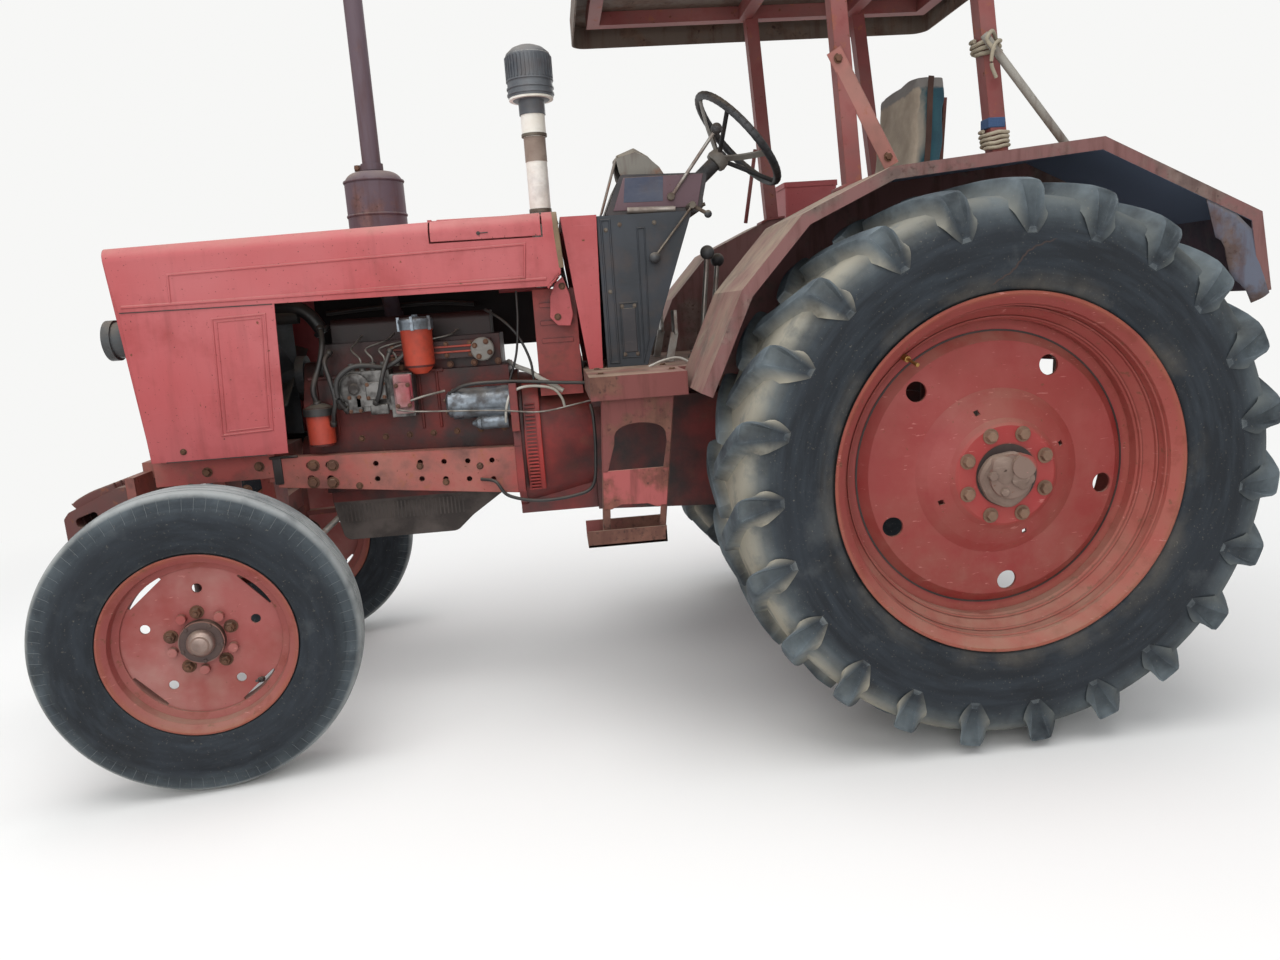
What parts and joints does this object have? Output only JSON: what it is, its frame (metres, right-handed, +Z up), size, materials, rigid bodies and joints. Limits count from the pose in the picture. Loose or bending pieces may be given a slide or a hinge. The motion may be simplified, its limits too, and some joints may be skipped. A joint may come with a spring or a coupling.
{
  "type": "farm tractor",
  "caption": "Open-station farm tractor with a sun canopy, narrow hood over an exposed engine, large rear wheels, steered front wheels and a rear lift hitch.",
  "frame": {"origin": "middle of the bounding box, on the ground", "axes": "+X forwards, +Y to the driver's left, +Z up"},
  "size_m": [3.8577, 2.09, 2.56],
  "materials": {
    "faded_red": "sun-faded red paint",
    "engine_red": "painted casting, oily",
    "frame_red": "worn red paint",
    "dark_blue": "dusty dark paint",
    "maroon": "chalky dark red paint",
    "rusty_steel": "rust over old paint",
    "bare_steel": "worn steel",
    "pump_alloy": "oily alloy",
    "rubber_tyre": "sun-bleached rubber",
    "intake_white": "chalky white",
    "black_plastic": "dusty black",
    "seat_cover": "tattered cloth cover"
  },
  "bodies": {
    "chassis": {"front_beam": "frame_red", "front_weights": "faded_red", "side_rails": "frame_red", "engine_block": "engine_red", "cylinder_head": "engine_red", "injection_pump": "pump_alloy", "fuel_filters": "engine_red", "starter": "bare_steel", "radiator": "black_plastic", "clutch_housing": "engine_red", "gearbox": "engine_red", "rear_axle": "engine_red", "lift_housing": "engine_red", "hood": "faded_red", "side_panels": "faded_red", "grille": "faded_red", "headlamps": "black_plastic", "cowl": "faded_red", "bulkhead": "engine_red", "side_cover": "faded_red", "dash_console": "dark_blue", "instrument_box": "black_plastic", "steering_column": "black_plastic", "platform": "rusty_steel", "fenders": "rusty_steel", "tool_box": "faded_red", "steps": "rusty_steel", "seat_base": "rusty_steel", "seat_cushion": "seat_cover", "seat_back": "seat_cover", "canopy_frame": "maroon", "canopy_roof": "rusty_steel", "exhaust": "rusty_steel", "air_intake": "intake_white", "controls": "bare_steel", "front_axle": "frame_red"},
    "hatch": {"hatch": "faded_red"},
    "fan": {"fan": "black_plastic"},
    "steering_wheel": {"steering_wheel": "black_plastic"},
    "knuckle_left": {"knuckle_left": "frame_red"},
    "knuckle_right": {"knuckle_right": "frame_red"},
    "steering_crank": {"steering_crank": "frame_red"},
    "tie_rods": {"tie_rods": "bare_steel"},
    "wheel_front_left": {"wheel_front_left": "frame_red", "tyre_front_left": "rubber_tyre"},
    "wheel_front_right": {"wheel_front_right": "frame_red", "tyre_front_right": "rubber_tyre"},
    "wheel_rear_left": {"wheel_rear_left": "frame_red", "tyre_rear_left": "rubber_tyre"},
    "wheel_rear_right": {"wheel_rear_right": "frame_red", "tyre_rear_right": "rubber_tyre"},
    "rockshaft": {"rockshaft": "frame_red"},
    "lower_links": {"lower_links": "rusty_steel"},
    "lift_rods": {"lift_rods": "bare_steel"}
  },
  "joints": [
    {"name": "wheel_rear_left_spin", "type": "hinge", "parent": "chassis", "child": "wheel_rear_left", "pos_m": [-0.97608, 0.83, 0.81], "axis": [0, 1, 0], "continuous": true},
    {"name": "wheel_rear_right_spin", "type": "hinge", "parent": "chassis", "child": "wheel_rear_right", "pos_m": [-0.97608, -0.83, 0.81], "axis": [0, 1, 0], "continuous": true},
    {"name": "steer_left", "type": "hinge", "parent": "chassis", "child": "knuckle_left", "pos_m": [1.39392, 0.52, 0.585], "axis": [0, 0, 1], "range_deg": [-46.5, 29.5]},
    {"name": "steer_right", "type": "hinge", "parent": "chassis", "child": "knuckle_right", "pos_m": [1.39392, -0.52, 0.585], "axis": [0, 0, 1], "range_deg": [-46.5, 29.5]},
    {"name": "wheel_front_left_spin", "type": "hinge", "parent": "knuckle_left", "child": "wheel_front_left", "pos_m": [1.37174, 0.66835, 0.46], "axis": [-0.1478, 0.989, 0], "continuous": true},
    {"name": "wheel_front_right_spin", "type": "hinge", "parent": "knuckle_right", "child": "wheel_front_right", "pos_m": [1.41609, -0.66835, 0.46], "axis": [-0.1478, 0.989, 0], "continuous": true},
    {"name": "crank_turn", "type": "hinge", "parent": "chassis", "child": "steering_crank", "pos_m": [1.39392, 0, 0.585], "axis": [0, 0, 1], "range_deg": [-46.5, 29.5]},
    {"name": "tie_rods_turn", "type": "hinge", "parent": "steering_crank", "child": "tie_rods", "pos_m": [1.21589, -0.02661, 0.585], "axis": [0, 0, 1], "range_deg": [-29.5, 46.5]},
    {"name": "steering_wheel_turn", "type": "hinge", "parent": "chassis", "child": "steering_wheel", "pos_m": [-0.46109, 0, 1.911], "axis": [-0.7547, 0, 0.6561], "range_deg": [-558, 354]},
    {"name": "hatch_lid", "type": "hinge", "parent": "chassis", "child": "hatch", "pos_m": [0.44642, 0.176, 1.67096], "axis": [1, 0, 0], "range_deg": [0, 100]},
    {"name": "fan_spin", "type": "hinge", "parent": "chassis", "child": "fan", "pos_m": [1.21392, 0, 1.185], "axis": [1, 0, 0], "continuous": true},
    {"name": "lift", "type": "hinge", "parent": "chassis", "child": "rockshaft", "pos_m": [-1.16609, 0, 1.13], "axis": [0, 1, 0], "range_deg": [-9, 48]},
    {"name": "links_swing", "type": "hinge", "parent": "chassis", "child": "lower_links", "pos_m": [-1.12609, 0, 0.56], "axis": [0, 1, 0], "range_deg": [-9, 48]},
    {"name": "lift_rods_swing", "type": "hinge", "parent": "rockshaft", "child": "lift_rods", "pos_m": [-1.4939, 0, 1.09207], "axis": [0, 1, 0], "range_deg": [-48, 9]}
  ],
  "couplings": [
    {"joint": "steer_right", "follows": "steer_left", "ratio": 1},
    {"joint": "crank_turn", "follows": "steer_left", "ratio": 1},
    {"joint": "tie_rods_turn", "follows": "steer_left", "ratio": -1},
    {"joint": "steering_wheel_turn", "follows": "steer_left", "ratio": 12},
    {"joint": "links_swing", "follows": "lift", "ratio": 1},
    {"joint": "lift_rods_swing", "follows": "lift", "ratio": -1}
  ]
}
